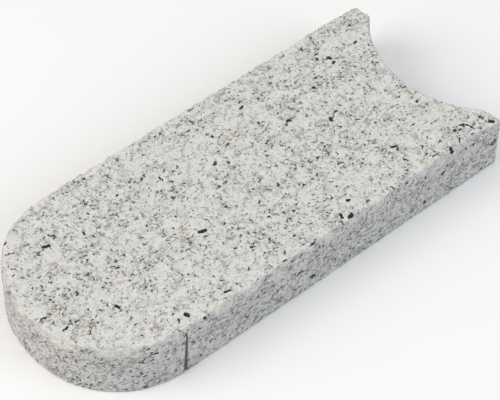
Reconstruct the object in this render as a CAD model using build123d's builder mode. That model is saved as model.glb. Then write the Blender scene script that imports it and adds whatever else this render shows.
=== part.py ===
"""Granite lawn edging stone: a sawn slab with a rounded nose and a hollow end that takes the next nose."""

import os
from math import sqrt

from build123d import *

# Driving dimensions, in millimetres
length = 250.0  # tip of the nose to the horn ends
width = 106.0
thickness = 30.0

# Rounded nose: one wide arc across the tip, with tighter shoulders that run into the sides
nose_radius = 68.0
shoulder_inset = 5.0  # centres of the shoulders, off the middle line

# Hollow end: a round socket between two blunt horns, which the next stone's nose bears on
horn_width = 11.5  # mean of the two horns
socket_offset = 0.75  # the socket is cut this far off the middle line, away from the nicked side
joint_gap = 0.6  # between the nose tip and the floor of the socket
horn_outer_radius = 4.0
horn_inner_radius = 1.0
crisp_horn_radius = 1.5  # outer corner of the horn on the nicked side, which is still crisp
worn_horn_radius = 16.0  # inner corner of the same horn, which is worn round

# Edges: a round arris along the top, a small broken one along the bed
top_arris = 1.2
bed_arris = 0.8

# Saw nick in one side, just past where the nose begins: it narrows upwards and ends below the top arris
nick_past_spring = 1.1
nick_bed_width = 2.2
nick_bed_depth = 1.4
nick_top_width = 1.0
nick_top_depth = 0.7
nick_below_top = 3.0

# Places that follow: X runs from nose to socket, and the origin is in the middle of the bed face
nose_x = -length / 2
horn_x = length / 2
side_y = width / 2
nose_corner_x = nose_x + nose_radius - sqrt(nose_radius**2 - side_y**2)
shoulder_radius = side_y - shoulder_inset
shoulder_setback = sqrt((nose_radius - shoulder_radius) ** 2 - shoulder_inset**2)
spring_x = nose_x + nose_radius - shoulder_setback  # where a shoulder meets its side
nick_x = spring_x + nick_past_spring

# The socket is as deep as the nose is where it bears on the horns, with the joint gap added
mouth = side_y - horn_width  # half the width of the socket's mouth
bearing_x = spring_x - sqrt(shoulder_radius**2 - (mouth - shoulder_inset) ** 2)
socket_depth = bearing_x - nose_x + joint_gap
socket_radius = (mouth**2 + socket_depth**2) / (2 * socket_depth)
socket_centre_x = horn_x - socket_depth + socket_radius


def nick_section(plane, groove_width, groove_depth):
    """A notch in the -Y side, with its mouth as far outside the side as it is deep."""
    with BuildSketch(plane) as section:
        with BuildLine():
            Polyline(
                (nick_x - groove_width, -side_y - groove_depth),
                (nick_x + groove_width, -side_y - groove_depth),
                (nick_x, -side_y + groove_depth),
                close=True,
            )
        make_face()
    return section.sketch


with BuildPart() as edging_stone:
    with BuildSketch() as plan:
        with BuildLine():
            nose = ThreePointArc((nose_corner_x, side_y), (nose_x, 0), (nose_corner_x, -side_y))
            Polyline(nose @ 1, (horn_x, -side_y), (horn_x, side_y), nose @ 0)
        make_face()
        fillet(plan.vertices().group_by(Axis.X)[0], shoulder_radius)
        with Locations((socket_centre_x, socket_offset)):
            Circle(socket_radius, mode=Mode.SUBTRACT)
        horn_radii = (crisp_horn_radius, worn_horn_radius, horn_inner_radius, horn_outer_radius)
        for corner, radius in enumerate(horn_radii):
            horn_corners = plan.vertices().group_by(Axis.X)[-1].sort_by(Axis.Y)
            fillet(horn_corners[corner], radius)
    extrude(amount=thickness)
    fillet(edging_stone.faces().sort_by(Axis.Z)[-1].edges(), top_arris)
    chamfer(edging_stone.faces().sort_by(Axis.Z)[0].edges(), bed_arris)
    nick_at_bed = nick_section(Plane.XY, nick_bed_width, nick_bed_depth)
    nick_at_top = nick_section(Plane.XY.offset(thickness - nick_below_top), nick_top_width, nick_top_depth)
    loft([nick_at_bed, nick_at_top], mode=Mode.SUBTRACT)

edging_stone.part.label = "edging_stone"
os.makedirs("parts", exist_ok=True)
export_step(edging_stone.part, "parts/edging_stone.step")
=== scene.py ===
import itertools

import bpy
import numpy as np
from mathutils import Matrix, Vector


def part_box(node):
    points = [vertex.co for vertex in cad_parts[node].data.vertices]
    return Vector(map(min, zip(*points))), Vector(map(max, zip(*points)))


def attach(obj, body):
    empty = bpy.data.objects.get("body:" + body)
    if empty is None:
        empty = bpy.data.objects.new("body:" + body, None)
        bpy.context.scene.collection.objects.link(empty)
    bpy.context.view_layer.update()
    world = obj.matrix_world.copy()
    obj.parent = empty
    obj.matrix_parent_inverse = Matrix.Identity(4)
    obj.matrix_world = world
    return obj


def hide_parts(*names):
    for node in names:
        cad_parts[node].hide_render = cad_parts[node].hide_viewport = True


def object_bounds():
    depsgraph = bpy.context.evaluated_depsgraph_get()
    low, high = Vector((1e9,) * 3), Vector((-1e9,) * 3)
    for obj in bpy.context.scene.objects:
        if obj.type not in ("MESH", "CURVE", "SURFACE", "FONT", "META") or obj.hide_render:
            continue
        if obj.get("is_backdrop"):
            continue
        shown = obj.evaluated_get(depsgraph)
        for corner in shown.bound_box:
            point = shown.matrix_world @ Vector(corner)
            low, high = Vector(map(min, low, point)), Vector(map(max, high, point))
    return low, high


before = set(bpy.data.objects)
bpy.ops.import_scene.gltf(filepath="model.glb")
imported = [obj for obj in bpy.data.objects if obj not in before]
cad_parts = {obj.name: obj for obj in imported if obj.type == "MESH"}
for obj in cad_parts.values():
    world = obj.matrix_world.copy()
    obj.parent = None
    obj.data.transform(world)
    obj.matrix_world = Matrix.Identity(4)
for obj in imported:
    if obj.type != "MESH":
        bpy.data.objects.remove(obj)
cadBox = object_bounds()
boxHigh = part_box("edging_stone")[1]
stoneSizes = [round(side * 1000, 2) for side in boxHigh]
print("frame loaded, half length, half width and thickness", stoneSizes, "mm")

# Viewpoint of the photograph, in metres, and its frame in pixels
shot = {
    "eye": (-0.4397, -0.5067, 0.8066),
    "target": (0.00593, -0.0027, 0.01497),
    "roll": 1.14,  # degrees
    "focal": 2155.0,
    "frame": (500, 400),
    "sensor": 36.0,
}


def shotAxes():
    # back runs from the target to the eye, right is level, up is square to both;
    # then right and up turn by the roll
    back = np.array(shot["eye"]) - np.array(shot["target"])
    back /= np.linalg.norm(back)
    right = np.cross((0.0, 0.0, 1.0), back)
    right /= np.linalg.norm(right)
    up = np.cross(back, right)
    turn = np.radians(shot["roll"])
    return np.cos(turn) * right + np.sin(turn) * up, np.cos(turn) * up - np.sin(turn) * right, back


def toPhoto(points):
    # pixel of a point in metres: middle of the frame, plus the focal length times its offset over its depth
    right, up, back = shotAxes()
    offset = points - np.array(shot["eye"])
    depth = -offset @ back
    wide, high = shot["frame"]
    return np.stack([
        wide / 2 + shot["focal"] * (offset @ right) / depth,
        high / 2 - shot["focal"] * (offset @ up) / depth,
    ], 1)


# Noise for the relief, worked out on whole arrays of points in millimetres
def latticeChance(cells, seed):
    # a fixed number from -1 to 1 for each whole-number cell, from a product of its indices
    mixed = cells @ np.array([73856093, 19349663, 83492791]) + seed * 6542989
    mixed = (mixed ^ (mixed >> 13)) * 1274126177
    mixed = (mixed ^ (mixed >> 15)) * 668265263
    return ((mixed >> 9) & 0xFFFFF) / 0x80000 - 1.0


def softNoise(points, size, seed):
    # numbers on a cubic lattice of that size, eased between its eight corners by 3t^2 - 2t^3
    spots = points / size
    cells = np.floor(spots).astype(np.int64)
    ease = spots - cells
    ease = ease * ease * (3 - 2 * ease)
    total = np.zeros(len(points))
    for corner in itertools.product((0, 1), repeat=3):
        share = np.prod(np.where(corner, ease, 1 - ease), axis=1)
        total += share * latticeChance(cells + np.array(corner), seed)
    return total


def crystalNoise(points, size, seed):
    # each point takes the number of the nearest jittered lattice point, so the steps are flat like grains
    stray = 0.42  # how far such a point may lie from its cell's middle, in cells
    spots = points / size
    cells = np.floor(spots).astype(np.int64)
    nearest = np.full(len(points), np.inf)
    step = np.zeros(len(points))
    for shift in itertools.product((-1, 0, 1), repeat=3):
        there = cells + np.array(shift)
        jitter = np.stack([latticeChance(there, seed + axis) for axis in (1, 2, 3)], 1)
        gap = ((there + 0.5 + stray * jitter - spots) ** 2).sum(1)
        closer = gap < nearest
        step = np.where(closer, latticeChance(there, seed), step)
        nearest = np.where(closer, gap, nearest)
    return step


# The stone, in millimetres: its outline is that of the solid
stone = {
    "halfLength": boxHigh.x * 1000,
    "halfWidth": boxHigh.y * 1000,
    "thickness": boxHigh.z * 1000,
    "noseRadius": 68.0,
    "shoulderInset": 5.0,
    "hornWidth": 11.5,
    "jointGap": 0.6,
    "socketOffset": 0.75,  # the socket lies a little towards the far side
    "hornOuter": 4.0,
    "hornInner": 1.0,
    "hornCrisp": 1.5,  # outer corner of the near horn
    "hornWorn": 16.0,  # inner corner of the near horn
    "topArris": 0.4,
    "bedArris": 0.6,
    "nickX": (-75.6, -74.3),  # at the bed and at its upper end
    "nickTop": 29.3,
    "nickHalfWidth": (1.7, 0.65),  # at the bed and at its upper end
    "nickDepth": (0.6, 0.9),
    "nickSteep": 1.25,  # above 1, which leaves the root flat
    "nickReach": 1.0,  # how far behind the near side it may lie
    "cellsAlong": 332,
    "cellsAcross": 160,
    "nickCrowd": (3.2, 2.0),  # share of extra columns round the nick, and its reach
    "runPoints": 2001,  # on each run of the outline
    "wallRows": 33,
    "rowCrowd": 1.4,  # above 1, which brings the rows closer towards the top
    "arrisRows": 3,
    "bedStep": 4,  # wall columns to one cell of the bed
    "bedInset": 3.0,
}


def arcRun(centre, radius, start, end, hollow=False):
    # centre + radius (cos a, sin a) at even angles, with the way the side faces:
    # out of the circle, or into a hollow
    angles = np.radians(np.linspace(start, end, stone["runPoints"]))
    spoke = np.stack([np.cos(angles), np.sin(angles)], 1)
    return np.concatenate([np.array(centre) + radius * spoke, -spoke if hollow else spoke], 1)


def straightRun(start, end, facing):
    # even steps from start to end, all facing one way
    share = np.linspace(0, 1, stone["runPoints"])[:, None]
    line = (1 - share) * np.array(start) + share * np.array(end)
    return np.concatenate([line, np.broadcast_to(np.array(facing, float), line.shape)], 1)


def hornCorner(radius, socketX, socketRadius):
    # centre of a round that touches a horn's flat end and the socket, with y from the socket's middle,
    # and the angle at which it meets the socket
    x = stone["halfLength"] - radius
    y = np.sqrt((socketRadius + radius) ** 2 - (socketX - x) ** 2)
    return x, y, np.degrees(np.arctan2(y, socketX - x))


def stoneSides():
    # the outline in four sides, counter-clockwise: near side, socket end, far side, nose.
    # They meet half way round the horns' outer corners and half way round the shoulders
    halfLength, halfWidth = stone["halfLength"], stone["halfWidth"]
    inset, outer, crisp = stone["shoulderInset"], stone["hornOuter"], stone["hornCrisp"]
    offset = stone["socketOffset"]
    shoulder = halfWidth - inset
    noseX = stone["noseRadius"] - halfLength
    setback = np.sqrt((stone["noseRadius"] - shoulder) ** 2 - inset**2)
    springX = noseX - setback
    slant = np.degrees(np.arctan2(inset, setback))
    mouth = halfWidth - stone["hornWidth"]
    bearingX = springX - np.sqrt(shoulder**2 - (mouth - inset) ** 2)
    depth = bearingX + halfLength + stone["jointGap"]
    socketRadius = (mouth**2 + depth**2) / (2 * depth)
    socketX = halfLength - depth + socketRadius
    wornX, wornY, wornTurn = hornCorner(stone["hornWorn"], socketX, socketRadius)
    innerX, innerY, innerTurn = hornCorner(stone["hornInner"], socketX, socketRadius)
    hornX, hornY = halfLength - outer, halfWidth - outer
    crispX, crispY = halfLength - crisp, crisp - halfWidth
    nearSide = [
        arcRun((springX, -inset), shoulder, 225, 270),
        straightRun((springX, -halfWidth), (crispX, -halfWidth), (0, -1)),
        arcRun((crispX, crispY), crisp, 270, 315),
    ]
    socketEnd = [
        arcRun((crispX, crispY), crisp, 315, 360),
        straightRun((halfLength, crispY), (halfLength, offset - wornY), (1, 0)),
        arcRun((wornX, offset - wornY), stone["hornWorn"], 0, wornTurn),
        arcRun((socketX, offset), socketRadius, 180 + wornTurn, 180 - innerTurn, hollow=True),
        arcRun((innerX, offset + innerY), stone["hornInner"], -innerTurn, 0),
        straightRun((halfLength, offset + innerY), (halfLength, hornY), (1, 0)),
        arcRun((hornX, hornY), outer, 0, 45),
    ]
    farSide = [
        arcRun((hornX, hornY), outer, 45, 90),
        straightRun((hornX, halfWidth), (springX, halfWidth), (0, 1)),
        arcRun((springX, inset), shoulder, 90, 135),
    ]
    noseEnd = [
        arcRun((springX, inset), shoulder, 135, 180 - slant),
        arcRun((noseX, 0), stone["noseRadius"], 180 - slant, 180 + slant),
        arcRun((springX, -inset), shoulder, 180 + slant, 225),
    ]
    return nearSide, socketEnd, farSide, noseEnd


def walk(runs, cells):
    # points along joined runs: even by length, and closer together where the nick is
    line = np.concatenate(runs)
    steps = np.linalg.norm(np.diff(line[:, :2], axis=0), axis=1)
    middle = (line[1:, :2] + line[:-1, :2]) / 2
    nick = (np.mean(stone["nickX"]), -stone["halfWidth"])
    crowd, crowdReach = stone["nickCrowd"]
    nearNick = np.exp(-(((middle - nick) / crowdReach) ** 2).sum(1))
    reach = np.append(0, np.cumsum(steps * (1 + crowd * nearNick)))
    marks = np.linspace(0, reach[-1], cells + 1)[:-1]
    walked = np.stack([np.interp(marks, reach, column) for column in line.T], 1)
    walked[:, 2:] /= np.linalg.norm(walked[:, 2:], axis=1)[:, None]
    return walked


def fillPatch(ring, along, across):
    # a sheet between four edges: the blend of near and far plus the blend of nose and end,
    # less that of the corners
    near = ring[: along + 1]
    end = ring[along : along + across + 1]
    far = ring[along + across : 2 * along + across + 1][::-1]
    nose = np.append(ring[2 * along + across :], ring[:1], 0)[::-1]
    u = np.linspace(0, 1, along + 1)[:, None, None]
    v = np.linspace(0, 1, across + 1)[None, :, None]
    sheet = (1 - v) * near[:, None] + v * far[:, None] + (1 - u) * nose[None] + u * end[None]
    corners = (1 - u) * ((1 - v) * near[0] + v * far[0]) + u * ((1 - v) * near[-1] + v * far[-1])
    return sheet - corners


def patchNumbers(along, across, ringStart, insideStart):
    # vertex numbers of such a sheet: its border is a ring that is already there, its inside is new
    ringCount = 2 * (along + across)
    numbers = np.zeros((along + 1, across + 1), int)
    numbers[:, 0] = np.arange(along + 1)
    numbers[along, :] = along + np.arange(across + 1)
    numbers[::-1, across] = along + across + np.arange(along + 1)
    numbers[0, ::-1] = (2 * along + across + np.arange(across + 1)) % ringCount
    numbers += ringStart
    inside = numbers[1:-1, 1:-1]
    numbers[1:-1, 1:-1] = insideStart + np.arange(inside.size).reshape(inside.shape)
    return numbers


def patchFaces(numbers):
    # one four-sided face for each cell, counter-clockwise
    corners = [numbers[:-1, :-1], numbers[1:, :-1], numbers[1:, 1:], numbers[:-1, 1:]]
    return np.stack(corners, 2).reshape(-1, 4)


def nearestSide(spots, plan, outward):
    # distance of each spot inside the outline, measured the way that the outline's nearest point
    # faces, and that way
    parts = np.array_split(spots, 16)  # so that no table of distances grows large
    nearest = np.concatenate([np.argmin((plan**2).sum(1) - 2 * part @ plan.T, axis=1) for part in parts])
    return np.clip(((plan[nearest] - spots) * outward[nearest]).sum(1), 0, None), outward[nearest]


# Relief, in millimetres: how deep the dressing, the saw and the broken corners go. A noise is given
# as its depth, its grain size and its seed, and a chip also by the level that the noise has to pass
relief = {
    "dressedDepth": (0.12, 0.03),  # usual and least depth under the ideal top
    "dressing": (0.10, 7.0, 11),
    "grains": (0.07, 3.1, 21),
    "pits": (0.07, 1.7, 31),
    "sawnDepth": (0.06, 0.02),  # usual and least depth under the ideal wall
    "sawLines": (0.035, 1.1, 41),
    "sawDrawn": (0.05, 0.05, 1.0),  # draws the lines out round the wall
    "sawWave": (0.05, 16.0, 51),
    "arrisBroken": 1.0,  # usual width of the broken corner along the top
    "arrisNear": 0.55,  # how much wider it is along the near side
    "arrisSteep": 2.2,  # how much further down the side it goes
    "arrisWidths": (0.2, 2.8),  # least and most
    "arrisUneven": (0.45, 1.6, 71),
    "smallChips": (1.3, 3.0, 61, 0.1),
    "largeChips": (1.3, 5.6, 121, 0.4),
    "knocks": (1.7, 9.0, 81, 0.40),
    # places where the edge has lost less: x, y, reach and share
    "edgeKept": [(125, -53, 9, 0.8), (110, 25, 22, 0.6), (103, 53, 9, 0.6), (-106, 43, 14, 0.6)],
    "bedBroken": 0.5,  # scale of the broken corner along the bed
    "bedUsual": 0.9,
    "bedChips": (0.9, 3.0, 101),
    "bedUneven": (0.5, 1.7, 111),
    "bedWidest": 2.2,
}


def layer(points, name, noise=softNoise):
    # depth times a noise of that grain size and seed
    depth, size, seed = relief[name]
    return depth * noise(points, size, seed)


def chips(points, name, noise=softNoise):
    # depth times what such a noise has above the level
    depth, size, seed, level = relief[name]
    return depth * np.clip(noise(points, size, seed) - level, 0, None)


def stoneRelief(points, facing):
    # depth of the surface under the ideal one: a dressed top and sawn walls
    rise = np.clip(facing[:, 2], 0, 1)
    level = 1 - rise
    usual, least = relief["dressedDepth"]
    dressed = usual + layer(points, "dressing")
    dressed += layer(points, "grains", crystalNoise)
    dressed += layer(points, "pits")
    dressed = np.clip(dressed, least, None)
    usual, least = relief["sawnDepth"]
    sawn = usual + layer(points * relief["sawDrawn"], "sawLines")
    sawn += layer(points, "sawWave")
    sawn = np.clip(sawn, least, None)
    return dressed * rise + sawn * level


def arrisBreak(points, inside):
    # a corner that is broken off at a steep slant: the lack is the break's width, less the distance
    # from the side, less the distance from the top over the steepness
    size = relief["arrisBroken"] + layer(points, "arrisUneven")
    size += chips(points, "smallChips", crystalNoise)
    size += chips(points, "largeChips", crystalNoise)
    size += chips(points, "knocks")
    size += relief["arrisNear"] * np.clip(-points[:, 1] / stone["halfWidth"], 0, 1)
    for x, y, reach, share in relief["edgeKept"]:
        size *= 1 - share * np.exp(-(((points[:, :2] - (x, y)) / reach) ** 2).sum(1))
    below = stone["thickness"] - points[:, 2]
    width = np.clip(size, *relief["arrisWidths"])
    return np.clip(width - inside - below / relief["arrisSteep"], 0, None)


def bedBreak(points, inside):
    # the same along the bed, smaller and at an even slant: half of what the width leaves when the
    # distance from the side and the height are taken off
    size = relief["bedUsual"] + layer(points, "bedChips", crystalNoise) + layer(points, "bedUneven")
    width = np.clip(relief["bedBroken"] * size, 0, relief["bedWidest"])
    return np.clip(width - inside - points[:, 2], 0, None) / 2


def nickDent(points):
    # how far into the nick a point of the near side is, from 0 at its lips to 1 at its root
    share = np.clip(points[:, 2] / stone["nickTop"], 0, 1)
    halfWidth = np.interp(share, (0, 1), stone["nickHalfWidth"])
    middle = np.interp(share, (0, 1), stone["nickX"])
    steep = stone["nickSteep"]
    dent = np.clip(steep - steep * np.abs(points[:, 0] - middle) / halfWidth, 0, 1)
    onSide = points[:, 1] < -stone["halfWidth"] + stone["nickReach"]
    return dent * (onSide & (points[:, 2] < stone["nickTop"]))


# Large dark mica flakes where the photograph has them: the pixels of both ends, and the width in pixels
flakes = [
    (42.5, 247.3, 49.3, 245.6, 3.0), (50.2, 248.2, 51.2, 248.8, 1.8), (83.4, 232.2, 84.4, 234.0, 2.6),
    (63.8, 330.2, 67.6, 327.4, 2.8), (41.8, 318.8, 46.2, 317.6, 2.2), (77.6, 293.4, 78.8, 293.8, 2.4),
    (3.4, 244.0, 5.4, 242.4, 3.0), (5.8, 254.8, 13.6, 252.9, 1.6), (27.4, 242.0, 28.8, 245.0, 1.5),
    (64.6, 244.2, 66.4, 244.6, 1.9), (83.6, 201.4, 85.2, 204.6, 1.9), (78.6, 219.0, 80.4, 218.6, 1.8),
    (66.8, 225.4, 68.4, 226.4, 1.8), (46.2, 283.0, 51.0, 282.3, 1.4), (12.6, 275.8, 14.6, 274.8, 1.5),
    (115.4, 305.2, 119.4, 307.6, 3.0), (130.8, 318.8, 132.0, 317.8, 2.2), (144.8, 320.4, 146.4, 322.8, 1.5),
    (199.2, 232.0, 205.6, 230.0, 3.6), (213.0, 164.6, 216.8, 164.2, 1.8), (214.6, 161.6, 215.0, 164.0, 2.2),
    (206.2, 133.9, 208.8, 135.6, 1.6), (211.6, 135.8, 213.2, 136.6, 2.8), (116.0, 196.0, 118.4, 194.6, 1.8),
    (224.9, 292.0, 230.0, 290.2, 2.4), (185.2, 314.0, 188.6, 315.2, 3.6), (178.4, 319.4, 178.9, 322.4, 2.2),
    (204.0, 317.6, 206.0, 317.0, 2.0), (208.8, 314.2, 209.8, 313.8, 2.2), (278.0, 186.0, 278.8, 184.8, 2.2),
    (327.4, 57.2, 331.2, 58.4, 2.8), (333.2, 62.4, 334.8, 62.0, 3.0), (314.8, 54.4, 317.8, 53.2, 1.6),
    (313.2, 87.6, 314.8, 87.4, 2.8), (287.4, 120.2, 290.6, 119.8, 2.8), (286.0, 124.6, 286.8, 124.6, 2.2),
    (334.8, 111.6, 337.2, 110.6, 2.2), (330.4, 118.4, 331.2, 120.2, 3.2), (338.2, 126.0, 341.2, 126.5, 1.9),
    (354.6, 42.6, 356.2, 41.2, 2.4), (391.6, 147.1, 396.8, 146.0, 2.3), (397.6, 119.2, 399.8, 119.8, 1.5),
    (402.6, 87.0, 405.0, 86.2, 2.0), (416.4, 101.6, 418.0, 99.6, 2.3), (410.6, 125.4, 414.6, 123.8, 1.4),
    (317.6, 157.8, 318.4, 157.0, 2.6), (347.0, 200.2, 349.4, 199.8, 3.0), (331.8, 198.4, 332.4, 197.4, 2.2),
    (302.6, 185.4, 303.4, 184.6, 2.2), (340.2, 214.4, 342.6, 217.6, 3.0), (349.4, 216.8, 351.8, 215.0, 4.4),
    (432.8, 156.4, 437.4, 153.9, 1.6), (402.8, 158.2, 408.2, 160.8, 1.5), (450.6, 148.2, 452.8, 151.4, 3.6),
    (489.4, 121.0, 493.0, 121.2, 3.4), (479.0, 116.4, 480.6, 117.4, 1.9), (472.8, 145.0, 475.0, 143.4, 1.7),
    (456.6, 126.4, 462.0, 124.3, 1.4), (462.0, 124.3, 468.0, 125.2, 1.7), (468.0, 125.2, 474.6, 128.4, 1.4),
    (453.2, 130.4, 455.6, 129.4, 1.7), (459.2, 130.2, 461.4, 128.6, 1.5), (459.6, 139.0, 459.6, 142.6, 1.7),
    (492.2, 143.2, 495.6, 139.2, 1.6), (441.8, 175.0, 444.6, 171.4, 1.9), (424.0, 203.4, 425.6, 202.0, 2.2),
    (297.4, 275.2, 301.4, 271.2, 1.8), (311.6, 277.2, 314.2, 275.2, 2.4), (343.6, 260.8, 346.2, 260.2, 1.6),
    (151.8, 354.8, 158.2, 352.7, 2.0), (147.2, 349.0, 149.6, 348.4, 1.8), (184.2, 365.4, 186.2, 364.8, 2.0),
    (240.0, 108.2, 243.4, 106.0, 2.4), (158.6, 176.8, 162.2, 179.8, 2.2), (268.2, 216.3, 270.4, 216.0, 2.0),
    (311.2, 244.8, 314.2, 243.2, 1.8), (251.0, 247.2, 252.8, 246.4, 2.4), (218.8, 186.6, 219.8, 186.2, 2.2),
    (292.6, 211.0, 294.0, 210.6, 2.0), (234.8, 248.4, 236.4, 248.0, 2.2), (149.0, 264.8, 151.2, 265.6, 1.9),
    (283.8, 261.0, 287.0, 259.6, 1.8), (391.4, 186.6, 395.4, 189.6, 1.7), (341.2, 221.2, 343.6, 224.0, 1.9),
]

# A small rust spot and yellow stains on the top: pixel, radius in pixels, strength
stains = [
    (155.1, 326.3, 1.7, 1.0), (305.0, 163.6, 5.0, 0.12), (171.0, 241.0, 9.0, 0.05),
    (56.0, 270.0, 9.0, 0.05),
]
stainDepth = 1.0  # millimetres below the top that a stain may reach


def stainShare(points):
    # strength times exp(-(distance / radius)^2) for each stain, the strongest of them
    pixels = toPhoto(points / 1000)
    shares = [
        strength * np.exp(-(((pixels - (x, y)) / radius) ** 2).sum(1))
        for x, y, radius, strength in stains
    ]
    return np.max(shares, axis=0) * (points[:, 2] > stone["thickness"] - stainDepth)


def flakeGap(points, facing):
    # millimetres from the nearest flake, below 0 inside it, for the parts of the stone that face the
    # photograph: the pixels from its stroke, less half its width, over the pixels to a millimetre
    farAway = 9.0
    toEye = np.array(shot["eye"]) * 1000 - points
    seen = (toEye * facing).sum(1) > 0
    pixels = toPhoto(points / 1000)
    scale = shot["focal"] / np.linalg.norm(toEye, axis=1)
    gap = np.full(len(points), farAway)
    for startX, startY, endX, endY, width in flakes:
        start, run = np.array((startX, startY)), np.array((endX - startX, endY - startY))
        share = np.clip((pixels - start) @ run / (run @ run), 0, 1)[:, None]
        away = np.linalg.norm(pixels - start - share * run, axis=1)
        gap = np.minimum(gap, (away - width / 2) / scale)
    return np.where(seen, gap, farAway)


def wallProfile():
    # inset, height and slope of the surface from the bed up: a small chamfer, a plumb wall, and a
    # quarter round
    arris, bed, thickness = stone["topArris"], stone["bedArris"], stone["thickness"]
    turn = np.linspace(0, np.pi / 2, stone["arrisRows"] + 1)
    share = np.linspace(1, 0, stone["wallRows"] + 1) ** stone["rowCrowd"]
    heights = thickness - arris - share * (thickness - arris - bed)
    insets = np.concatenate([[bed], 0 * heights, arris * (1 - np.cos(turn[1:]))])
    levels = np.concatenate([[0.0], heights, thickness - arris + arris * np.sin(turn[1:])])
    slopes = np.concatenate([[-np.pi / 4], 0 * heights, turn[1:]])
    return insets, levels, slopes


# The square that the looks are baked on, in millimetres
bake = {
    "side": 256,
    "topMiddle": (128, 56),
    "strips": 3,
    "stripStart": (12, 112),
    "stripRise": 36,
    "bedMiddles": (64.5, 191.5),  # of its near half and its far half
    "bedStart": 223,
}


def bakePlaces(points, plan, profile, faces):
    # where each face corner lies on that square: the top in plan, then the wall unrolled in strips,
    # then the bed at half size, cut along its middle into two halves side by side
    topFaces, wallFaces, bedFaces = faces
    columns, strips = len(plan), bake["strips"]
    top = points[topFaces][..., :2] + bake["topMiddle"]
    steps = np.linalg.norm(np.roll(plan, -1, 0) - plan, axis=1)
    reach = np.append(0, np.cumsum(steps))
    column = np.arange(len(wallFaces)) % columns
    strip = np.floor((reach[column] + steps[column] / 2) / reach[-1] * strips)
    along = np.stack([reach[column], reach[column + 1], reach[column + 1], reach[column]], 1)
    climb = np.append(0, np.cumsum(np.hypot(np.diff(profile[0]), np.diff(profile[1]))))
    startX, startY = bake["stripStart"]
    wall = np.stack([
        along - strip[:, None] * reach[-1] / strips + startX,
        climb[wallFaces // columns] + startY + bake["stripRise"] * strip[:, None],
    ], 2)
    nearMiddle, farMiddle = bake["bedMiddles"]
    beds = []
    for bedCorners in bedFaces:
        places = points[bedCorners][..., :2]
        far = places[..., 1].mean(1)[:, None] > 0
        across = places[..., 1] + np.where(far, 0, stone["halfWidth"])
        middle = np.where(far, farMiddle, nearMiddle)
        beds.append(np.stack([places[..., 0] / 2 + middle, across / 2 + bake["bedStart"]], 2))
    return np.concatenate([part.reshape(-1, 2) for part in (top, wall, *beds)]) / bake["side"]


# Wear and painted highlight that the looks read, sizes in millimetres: pale patches of bruised grains
# and painted highlight come and go along the broken corner
wear = {
    "brokenFrom": 0.25,  # a lack as large as this counts as broken
    "patchShare": 0.2,
    "patches": (1.6, 5.5, 91),  # strength, grain size and seed
    "nickClear": 5.0,  # there are none as close as this to the nick
    "bruiseAndHighlightReach": 3.0,
    "bruiseAndHighlightBroken": 0.85,
}


def stoneMarks(points, facing, inside, topBreak, dent):
    # numbers that the material reads at each point: sawn is 1 on walls and breaks, bruise is the pale
    # patches of bruised grains and painted highlight by exp(-(distance from the corner / reach)^2),
    # flake is a distance, nick is the share of painted shade in the groove, and stain is a share
    toArris = np.hypot(inside, stone["thickness"] - points[:, 2])
    broken = np.clip(topBreak / wear["brokenFrom"], 0, 1)
    strength, size, seed = wear["patches"]
    patch = np.clip(wear["patchShare"] + strength * softNoise(points, size, seed), 0, 1)
    toNick = points[:, :2] - (stone["nickX"][1], -stone["halfWidth"])
    patch *= 1 - np.exp(-((toNick / wear["nickClear"]) ** 2).sum(1))
    nearArris = np.exp(-((toArris / wear["bruiseAndHighlightReach"]) ** 2))
    walls = 1 - np.clip(facing[:, 2], 0, 1) ** 2
    return {
        "sawn": np.maximum(walls, broken) * (1 - patch * broken),
        # pale patches of bruised grains and painted highlight along the broken corner
        "bruiseAndHighlight": patch * np.maximum(nearArris, wear["bruiseAndHighlightBroken"] * broken),
        "flake": flakeGap(points, facing),
        # nick: where the painted shade of the groove goes
        "nick": dent,
        "stain": stainShare(points),
    }


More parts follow.
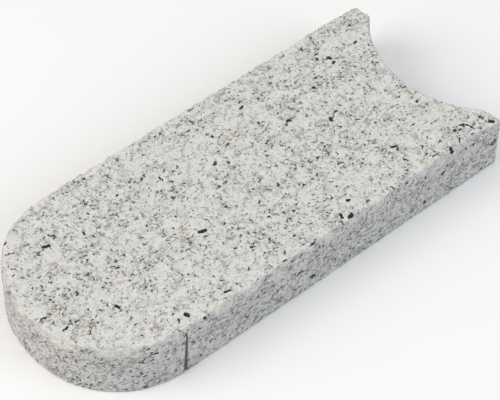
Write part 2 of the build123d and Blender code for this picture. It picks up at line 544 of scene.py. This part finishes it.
def buildStone():
    along, across, step = stone["cellsAlong"], stone["cellsAcross"], stone["bedStep"]
    sides = [walk(runs, cells) for runs, cells in zip(stoneSides(), (along, across, along, across))]
    ring = np.concatenate(sides)
    plan, outward = ring[:, :2], ring[:, 2:]
    insets, levels, slopes = wallProfile()
    columns, rows = len(ring), len(levels)

    # wall: the profile carried round the outline
    wall = np.empty((rows, columns, 3))
    wall[..., :2] = plan - insets[:, None, None] * outward
    wall[..., 2] = levels[:, None]
    wallFacing = np.empty_like(wall)
    wallFacing[..., :2] = np.cos(slopes)[:, None, None] * outward
    wallFacing[..., 2] = np.sin(slopes)[:, None]

    # top and bed: sheets inside the wall's last ring and inside a coarser ring on the bed
    top = fillPatch(wall[-1], along, across)[1:-1, 1:-1].reshape(-1, 3)
    bedRing = np.append(plan[::step] - stone["bedInset"] * outward[::step], np.zeros((columns // step, 1)), 1)
    bedAlong, bedAcross = along // step, across // step
    bed = fillPatch(bedRing, bedAlong, bedAcross)[1:-1, 1:-1].reshape(-1, 3)

    points = np.concatenate([wall.reshape(-1, 3), top, bedRing, bed])
    up, down = np.array([[0, 0, 1.0]]), np.array([[0, 0, -1.0]])
    bedCount = len(bedRing) + len(bed)
    facing = np.concatenate([wallFacing.reshape(-1, 3), up.repeat(len(top), 0), down.repeat(bedCount, 0)])
    inside, side = nearestSide(points[rows * columns :, :2], plan, outward)
    inside = np.concatenate([insets.repeat(columns), inside])
    side = np.concatenate([np.tile(outward, (rows, 1)), side])

    topStart = rows * columns
    bedStart = topStart + len(top)
    topFaces = patchFaces(patchNumbers(along, across, (rows - 1) * columns, topStart))
    grid = np.arange(rows * columns).reshape(rows, columns)
    grid = np.append(grid, grid[:, :1], 1)
    wallFaces = np.stack([grid[:-1, :-1], grid[:-1, 1:], grid[1:, 1:], grid[1:, :-1]], 2).reshape(-1, 4)
    bedFaces = patchFaces(patchNumbers(bedAlong, bedAcross, bedStart, bedStart + len(bedRing)))[:, ::-1]

    # between the wall and the coarser ring: five triangles to every four columns
    inner = bedStart + np.arange(len(bedRing) + 1) % len(bedRing)
    a, b = inner[:-1], inner[1:]
    outer = (np.arange(len(bedRing))[:, None] * step + np.arange(step + 1)) % columns
    skirtFaces = np.concatenate([
        np.stack(corners, 1)
        for corners in (
            (a, outer[:, 1], outer[:, 0]), (a, outer[:, 2], outer[:, 1]), (a, b, outer[:, 2]),
            (b, outer[:, 3], outer[:, 2]), (b, outer[:, 4], outer[:, 3]),
        )
    ])

    dent = nickDent(points)
    nickDepth = np.interp(points[:, 2] / stone["nickTop"], (0, 1), stone["nickDepth"])
    shaped = points - facing * (stoneRelief(points, facing) + dent * nickDepth)[:, None]
    topBreak, lowBreak = arrisBreak(points, inside), bedBreak(points, inside)
    # half of a lack goes inwards, the rest up or down
    shaped[:, :2] -= side * (topBreak / 2 + lowBreak)[:, None]
    shaped[:, 2] += lowBreak - topBreak / 2 * relief["arrisSteep"]
    shaped[:, 2] = np.clip(shaped[:, 2], 0, None)

    mesh = bpy.data.meshes.new("edgingStone")
    faces = np.concatenate([topFaces, wallFaces, bedFaces]).tolist() + skirtFaces.tolist()
    mesh.from_pydata(shaped / 1000, [], faces)
    mesh.polygons.foreach_set("use_smooth", np.ones(len(mesh.polygons), bool))
    bakeMap = mesh.uv_layers.new(name="OFBake")
    places = bakePlaces(points, plan, (insets, levels), (topFaces, wallFaces, (bedFaces, skirtFaces)))
    bakeMap.data.foreach_set("uv", places.astype(np.float32).ravel())
    for name, values in stoneMarks(points, facing, inside, topBreak, dent).items():
        mesh.attributes.new(name, "FLOAT", "POINT").data.foreach_set("value", values.astype(np.float32))
    mesh.update()
    triangles = sum(len(polygon.vertices) - 2 for polygon in mesh.polygons)
    print("stone built:", len(points), "points,", triangles, "triangles")
    piece = bpy.data.objects.new("edging_stone_dressed", mesh)
    bpy.context.scene.collection.objects.link(piece)
    return piece


class Shade:
    # one socket of a shader: + - and * on it add Math nodes, and add() adds any other node to the tree
    def __init__(self, tree, socket=None):
        self.tree = tree
        self.socket = socket

    def add(self, kind, settings=None, inputs=None, output=0):
        node = self.tree.nodes.new("ShaderNode" + kind)
        for name, value in (settings or {}).items():
            setattr(node, name, value)
        for name, value in (inputs or {}).items():
            if isinstance(value, Shade):
                self.tree.links.new(value.socket, node.inputs[name])
            else:
                node.inputs[name].default_value = value
        return Shade(self.tree, node.outputs[output] if node.outputs else None)

    def other(self, output):
        return Shade(self.tree, self.socket.node.outputs[output])

    def math(self, operation, first, second):
        return self.add("Math", {"operation": operation}, {0: first, 1: second})

    def __add__(self, value):
        return self.math("ADD", self, value)

    def __radd__(self, value):
        return self.math("ADD", value, self)

    def __sub__(self, value):
        return self.math("SUBTRACT", self, value)

    def __rsub__(self, value):
        return self.math("SUBTRACT", value, self)

    def __mul__(self, value):
        return self.math("MULTIPLY", self, value)

    def __rmul__(self, value):
        return self.math("MULTIPLY", value, self)

    def ease(self, low, high):
        # 0 at low, 1 at high, eased between them
        settings = {"interpolation_type": "SMOOTHSTEP", "clamp": True}
        return self.add("MapRange", settings, {"Value": self, "From Min": low, "From Max": high})

    def noise(self, size, detail=2.0, output="Fac"):
        # noise of that grain size, on a place in millimetres
        return self.add("TexNoise", None, {"Vector": self, "Scale": 1 / size, "Detail": detail}, output)

    def blend(self, first, second, way="MIX"):
        # from the first colour to the second by this mask
        settings = {"data_type": "RGBA", "blend_type": way, "clamp_factor": True}
        return self.add("Mix", settings, {0: self, 6: first, 7: second}, 2)


# Granite: colours as they look in plain light, sizes in millimetres
granite = {
    "feldspar": (0.760, 0.753, 0.723, 1),
    "quartz": (0.445, 0.448, 0.434, 1),
    "cream": (0.700, 0.680, 0.615, 1),
    "mica": (0.035, 0.037, 0.037, 1),
    "flake": (0.012, 0.013, 0.013, 1),
    # pale colour of bruised grains and painted highlight along the broken corner
    "bruisedAndHighlit": (0.800, 0.784, 0.728, 1),
    "rust": (0.36, 0.235, 0.085, 1),
    "sawnTint": (0.934, 0.936, 0.966, 1),
    "streak": (0.33, 0.335, 0.34, 1),
    # painted shade: the colour of the nick's root, dark as the shade in the groove
    "nickPaintedShade": (0.112, 0.115, 0.123, 1),
    # dark blots: grain size, level, how far gathering lowers the level, softness, strength
    "dust": (0.95, 0.66, 0.08, 0.06, 0.43),
    "blot": (1.4, 0.703, 0.10, 0.05, 0.94),
    "smudge": (2.5, 0.66, 0.10, 0.07, 0.34),
    "sliver": (0.42, 0.32),  # strength, and how much less on the walls
    "sway": (1.1, 0.4),  # reach, and how much less on the walls
    "drawn": (0.77, 0.44, 0.94, 0.58),  # shares of x, z, y and x in the walls' grain
    "crowd": (0.55, 0.45),  # shares of the clouds and of the seams
    "sawnGather": (0.4, 0.52),  # what the walls lose of it, and what they have everywhere
    "veil": (0.22, 0.79, 0.3),  # least quartz, more where mica gathers, less on the walls
    "grain": 0.40,  # strength of the finest mottle
    "creamShare": 0.6,
    "ragged": 1.5,  # how far a flake's border strays
    "bruiseAndHighlight": (0.6, 0.75),  # what it takes from the mica, and gives of its own colour
    "streakShare": 0.1,
    "sawLines": 0.6,  # their height in the bump, where a pit has 1
    "bump": (0.5, 0.0004),  # strength, and distance in metres
    "roughness": (0.84, 0.30),  # of the pale minerals, and how much less on the dark ones
    "specular": 0.25,
    "sizes": {
        "sway": 2.2, "mosaic": 11.0, "cloud": 9.0, "grain": 0.55, "quartz": 3.0, "cream": 9.0,
        "sliver": 2.1, "gate": 1.7, "ragged": 1.1, "streak": 1.3, "pit": 0.8,
    },
    # where a noise starts to show and where it is full
    "ranges": {
        "seam": (0.26, 0.02), "cloud": (0.34, 0.68), "quartz": (0.40, 0.72), "cream": (0.52, 0.75),
        "rising": (0.462, 0.497), "falling": (0.538, 0.503), "flake": (0.14, -0.16),
        "streak": (0.45, 0.75), "nick": (0.0, 0.9),
    },
    "gate": (0.60, 0.06, 0.70),  # where it opens, how far gathering lowers that, where it is open
    # the slant of the blots
    "leaning": {"Rotation": (1.1, 0.2, -0.7), "Scale": (0.85, 1.0, 1.0)},
    "stretched": (0.05, 0.05, 1.0),  # draws the saw streaks out round the wall
}
sizes, ranges = granite["sizes"], granite["ranges"]


def specks(place, name, gather):
    # ragged blots: the parts of a noise that stand above the level
    size, level, lowered, soft, strength = granite[name]
    return (place.noise(size, 1.5) - (level - lowered * gather)).ease(-soft, soft) * strength


def slivers(place, gate):
    # thin curved strokes: where a noise crosses its middle, kept only where the gate is open
    strokes = place.noise(sizes["sliver"], 1.0)
    return strokes.ease(*ranges["rising"]) * strokes.ease(*ranges["falling"]) * gate


def graniteMaterial():
    material = bpy.data.materials.new("granite")
    material.use_nodes = True
    tree = material.node_tree
    tree.nodes.clear()
    start = Shade(tree)
    metres = start.add("TexCoord", output="Object")
    place = start.add("VectorMath", {"operation": "SCALE"}, {0: metres, "Scale": 1000.0})
    drift = place.noise(sizes["sway"], 1.0, "Color")
    sway = start.add("VectorMath", {"operation": "SUBTRACT"}, {0: drift, 1: (0.5, 0.5, 0.5)})
    markNames = ("sawn", "bruiseAndHighlight", "flake", "nick", "stain")
    marks = {name: start.add("Attribute", {"attribute_name": name}, None, "Fac") for name in markNames}

    # the grain lies drawn out along the sawn walls, rising at about 30 degrees, and it sways less there
    x = start.add("SeparateXYZ", None, {"Vector": place}, "X")
    z = x.other("Z")
    along, rising, across, sloping = granite["drawn"]
    drawn = start.add("CombineXYZ", None, {
        "X": x * along + z * rising,
        "Y": x.other("Y") * across,
        "Z": z - x * sloping,
    })
    lie = start.add("Mix", {"data_type": "VECTOR"}, {0: marks["sawn"], 4: place, 5: drawn}, 1)
    reach, less = granite["sway"]
    swing = start.add("VectorMath", {"operation": "SCALE"}, {0: sway, "Scale": reach - less * marks["sawn"]})
    swayed = start.add("VectorMath", {"operation": "ADD"}, {0: swing, 1: lie})

    # where the mica gathers: in loose clouds, and along the seams of a coarse mosaic round clear patches
    mosaic = {"Vector": swayed, "Scale": 1 / sizes["mosaic"]}
    chain = start.add("TexVoronoi", {"feature": "DISTANCE_TO_EDGE"}, mosaic).ease(*ranges["seam"])
    cloud = place.noise(sizes["cloud"], 2.0).ease(*ranges["cloud"])
    cloudShare, chainShare = granite["crowd"]
    crowd = cloudShare * cloud + chainShare * chain
    lost, everywhere = granite["sawnGather"]
    gather = crowd * (1 - lost * marks["sawn"]) + everywhere * marks["sawn"]

    # light minerals: white feldspar, soft grey quartz that is thicker where mica gathers, a little cream
    grain = place.noise(sizes["grain"], 1.0)
    least, more, less = granite["veil"]
    veil = (least + more * crowd) * (1 - less * marks["sawn"])
    quartz = swayed.noise(sizes["quartz"], 3.0).ease(*ranges["quartz"]) * veil
    quartz = quartz + (grain - 0.5) * granite["grain"]
    ground = quartz.blend(granite["feldspar"], granite["quartz"])
    cream = place.noise(sizes["cream"], 1.0).ease(*ranges["cream"]) * granite["creamShare"]
    ground = cream.blend(ground, granite["cream"])

    # mica: small blots at two slants, curved slivers, and a few bold flakes
    leaning = start.add("Mapping", None, {"Vector": swayed, **granite["leaning"]})
    dust = specks(swayed, "dust", gather)
    blot = specks(leaning, "blot", gather)
    smudge = specks(swayed, "smudge", gather)
    opens, lowered, full = granite["gate"]
    gate = place.noise(sizes["gate"], 1.0).ease(opens - lowered * gather, full)
    strength, less = granite["sliver"]
    sliver = slivers(swayed, gate) * (strength - less * marks["sawn"])
    ragged = (place.noise(sizes["ragged"], 2.0) - 0.5) * granite["ragged"]
    flake = (marks["flake"] + ragged).ease(*ranges["flake"])
    clear = (1 - dust) * (1 - blot) * (1 - sliver) * (1 - smudge)
    # bruised grains and painted highlight: pale patches along the broken corner, with less mica
    taken, given = granite["bruiseAndHighlight"]
    dark = (1 - clear) * (1 - taken * marks["bruiseAndHighlight"])

    # from the ground up: bruises with painted highlight, stains, saw streaks, mica, flakes, the walls' tint,
    # painted shade in the nick's root
    pale = (marks["bruiseAndHighlight"] * given).blend(ground, granite["bruisedAndHighlit"])
    pale = marks["stain"].blend(pale, granite["rust"])
    stretched = start.add("Mapping", None, {"Vector": place, "Scale": granite["stretched"]})
    streaks = stretched.noise(sizes["streak"], 3.0)
    streakShare = streaks.ease(*ranges["streak"]) * marks["sawn"] * granite["streakShare"]
    pale = streakShare.blend(pale, granite["streak"])
    colour = dark.blend(pale, granite["mica"])
    colour = flake.blend(colour, granite["flake"])
    colour = marks["sawn"].blend(colour, granite["sawnTint"], "MULTIPLY")
    # painted shade in the nick's groove
    colour = marks["nick"].ease(*ranges["nick"]).blend(colour, granite["nickPaintedShade"])

    # relief too fine for the mesh: pits on the dressed top, saw lines round the wall
    pits = place.noise(sizes["pit"], 3.0) * (1 - marks["sawn"])
    lines = streaks * marks["sawn"] * granite["sawLines"]
    strength, distance = granite["bump"]
    bump = {"Strength": strength, "Distance": distance, "Height": pits + lines}
    rough, smoother = granite["roughness"]
    shader = start.add("BsdfPrincipled", None, {
        "Base Color": colour,
        "Roughness": rough - smoother * dark.math("MAXIMUM", dark, flake),
        "Specular IOR Level": granite["specular"],
        "Normal": start.add("Bump", None, bump, "Normal"),
    })
    start.add("OutputMaterial", None, {"Surface": shader})
    print("granite shaded:", len(tree.nodes), "nodes")
    return material


dressedStone = buildStone()
dressedStone.data.materials.append(graniteMaterial())
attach(dressedStone, "root")
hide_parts("edging_stone")

# Studio: a pale floor, soft light all round, a warm key from the left and a cool fill from the right
studio = {
    "floorSize": 8.0,
    "floorSeen": (1.0, 1.0, 1.0, 1),
    "floorBounce": (0.58, 0.58, 0.58, 1),
    "sky": 0.58,
    "keyFrom": (-1.93, 0.70, 1.44),
    "keyPower": 33.6,
    "keyColour": (1.0, 0.945, 0.87),
    "keySize": 1.8,
    "fillFrom": (0.75, -1.85, 1.42),
    "fillPower": 16.0,
    "fillColour": (0.83, 0.92, 1.0),
    "fillSize": 1.6,
}


def straightSeen(start):
    # 1 for what the camera sees, also in a reflection or through glass, and 0 for light that bounces
    seen = start.add("LightPath", output="Is Camera Ray")
    mirrored = seen.math("MAXIMUM", seen.other("Is Glossy Ray"), seen.other("Is Transmission Ray"))
    return seen.math("MAXIMUM", seen, mirrored)


def addFloor():
    half = studio["floorSize"] / 2
    corners = [(-half, -half, 0), (half, -half, 0), (half, half, 0), (-half, half, 0)]
    mesh = bpy.data.meshes.new("floor")
    mesh.from_pydata(corners, [], [(0, 1, 2, 3)])
    material = bpy.data.materials.new("floor")
    material.use_nodes = True
    material.node_tree.nodes.clear()
    start = Shade(material.node_tree)
    colour = straightSeen(start).blend(studio["floorBounce"], studio["floorSeen"])
    diffuse = start.add("BsdfDiffuse", None, {"Color": colour})
    start.add("OutputMaterial", None, {"Surface": diffuse})
    mesh.materials.append(material)
    floor = bpy.data.objects.new("floor", mesh)
    bpy.context.scene.collection.objects.link(floor)
    floor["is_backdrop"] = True


def addWorld():
    world = bpy.data.worlds.new("studio")
    world.use_nodes = True
    world.node_tree.nodes.clear()
    start = Shade(world.node_tree)
    strength = straightSeen(start) * (1 - studio["sky"]) + studio["sky"]
    light = start.add("Background", None, {"Color": (1, 1, 1, 1), "Strength": strength})
    start.add("OutputWorld", None, {"Surface": light})
    bpy.context.scene.world = world


def addLamp(name, source, power, colour, size):
    # a square lamp that faces the stone
    lamp = bpy.data.lights.new(name, "AREA")
    lamp.energy = power
    lamp.color = colour
    lamp.size = size
    holder = bpy.data.objects.new(name, lamp)
    holder.location = source
    holder.rotation_mode = "QUATERNION"
    holder.rotation_quaternion = holder.location.to_track_quat("Z", "Y")
    bpy.context.scene.collection.objects.link(holder)


def addCamera():
    camera = bpy.data.cameras.new("photograph")
    camera.sensor_width = shot["sensor"]
    camera.lens = shot["focal"] * shot["sensor"] / shot["frame"][0]
    holder = bpy.data.objects.new("photograph", camera)
    right, up, back = shotAxes()
    turned = np.eye(4)
    turned[:3] = np.stack([right, up, back, shot["eye"]], 1)
    holder.matrix_world = Matrix(turned.tolist())
    bpy.context.scene.collection.objects.link(holder)
    bpy.context.scene.camera = holder


addFloor()
addWorld()
addLamp("key", studio["keyFrom"], studio["keyPower"], studio["keyColour"], studio["keySize"])
addLamp("fill", studio["fillFrom"], studio["fillPower"], studio["fillColour"], studio["fillSize"])
addCamera()
bpy.context.scene.view_settings.view_transform = "Standard"
print("studio set")

sizes = {"cad": [list(corner) for corner in cadBox], "visual": [list(corner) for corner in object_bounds()]}
